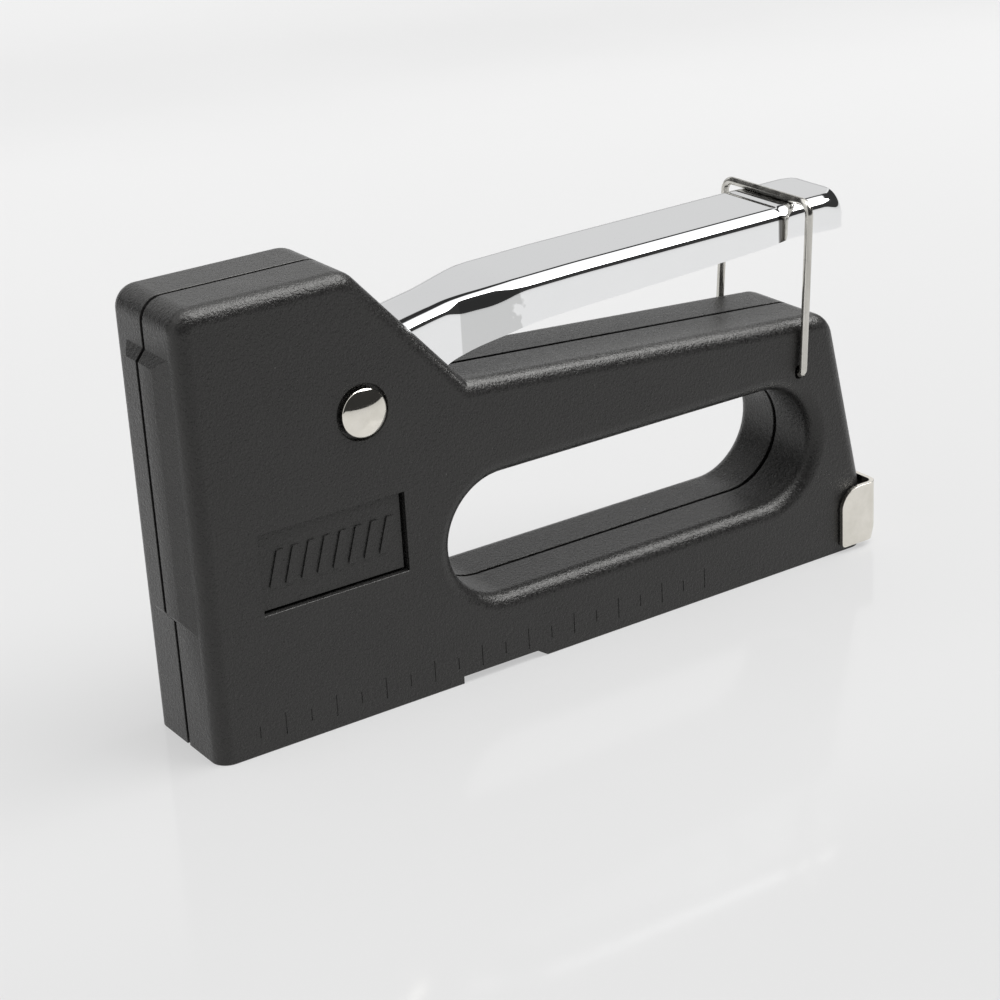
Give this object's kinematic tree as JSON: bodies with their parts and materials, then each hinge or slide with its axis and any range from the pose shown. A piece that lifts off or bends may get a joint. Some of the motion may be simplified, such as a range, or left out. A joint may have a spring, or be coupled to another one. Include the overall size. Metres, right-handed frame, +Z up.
{
  "type": "staple gun",
  "caption": "Light-duty hand staple gun with a moulded body, a chromed squeeze lever held by a wire bail, and a magazine rail that pulls out at the tail.",
  "frame": {"origin": "middle of the base of the bounding box; the gun stands on z = 0", "axes": "+X from the nose to the tail, +Y across towards the right-hand shell (the side with the screws), +Z up"},
  "size_m": [0.146, 0.0266, 0.0799],
  "materials": {
    "body_plastic": "fine spark-eroded grain",
    "lever_chrome": "bright chrome plate on pressed steel",
    "nickel": "bright nickel plate",
    "bail_wire": "bright drawn wire",
    "steel": "plain zinc-plated steel",
    "dark_steel": "sintered steel",
    "rubber": "matt",
    "screws": "black zinc"
  },
  "bodies": {
    "case": {"left_shell": "body_plastic", "right_shell": "body_plastic", "pivot_rivet": "nickel", "pivot_washer": "steel", "pivot_bush": "steel", "lever_spring": "steel", "front_plate": "steel", "spring_guide": "steel", "main_spring": "steel", "bumper": "rubber", "magazine_channel": "steel", "case_screw_1": "screws", "case_screw_2": "screws", "case_screw_3": "screws", "case_screw_4": "screws", "case_screw_5": "screws"},
    "lever": {"lever": "lever_chrome"},
    "hammer": {"hammer": "dark_steel", "hammer_pin": "steel", "driver_blade": "steel"},
    "bail": {"wire_bail": "bail_wire"},
    "rail": {"latch_plate": "nickel", "pusher_rail": "steel", "guide_rod": "steel", "pusher_spring": "steel", "rail_rivet_1": "steel", "rail_rivet_2": "steel"},
    "pusher": {"staple_pusher": "steel"}
  },
  "joints": [
    {"name": "lever_pivot", "type": "hinge", "parent": "case", "child": "lever", "pos_m": [-0.0389, 0, 0.0555], "axis": [0, 1, 0], "range_deg": [0, 8.2], "stiffness_Nm_per_rad": 2, "springref_deg": -17.19},
    {"name": "hammer_slide", "type": "slide", "parent": "case", "child": "hammer", "axis": [0, 0, 1], "range_m": [0, 0.0031], "deforming": ["main_spring"]},
    {"name": "bail_swing", "type": "hinge", "parent": "case", "child": "bail", "pos_m": [0.055, 0, 0.0393], "axis": [0, 1, 0], "range_deg": [0, 115]},
    {"name": "rail_slide", "type": "slide", "parent": "case", "child": "rail", "axis": [1, 0, 0], "range_m": [0, 0.1]},
    {"name": "pusher_slide", "type": "slide", "parent": "rail", "child": "pusher", "axis": [1, 0, 0], "range_m": [0, 0.085], "stiffness_N_per_m": 25, "springref_m": -0.05, "deforming": ["pusher_spring"]}
  ],
  "couplings": [
    {"joint": "hammer_slide", "follows": "lever_pivot", "m_per_rad": 0.0216}
  ]
}
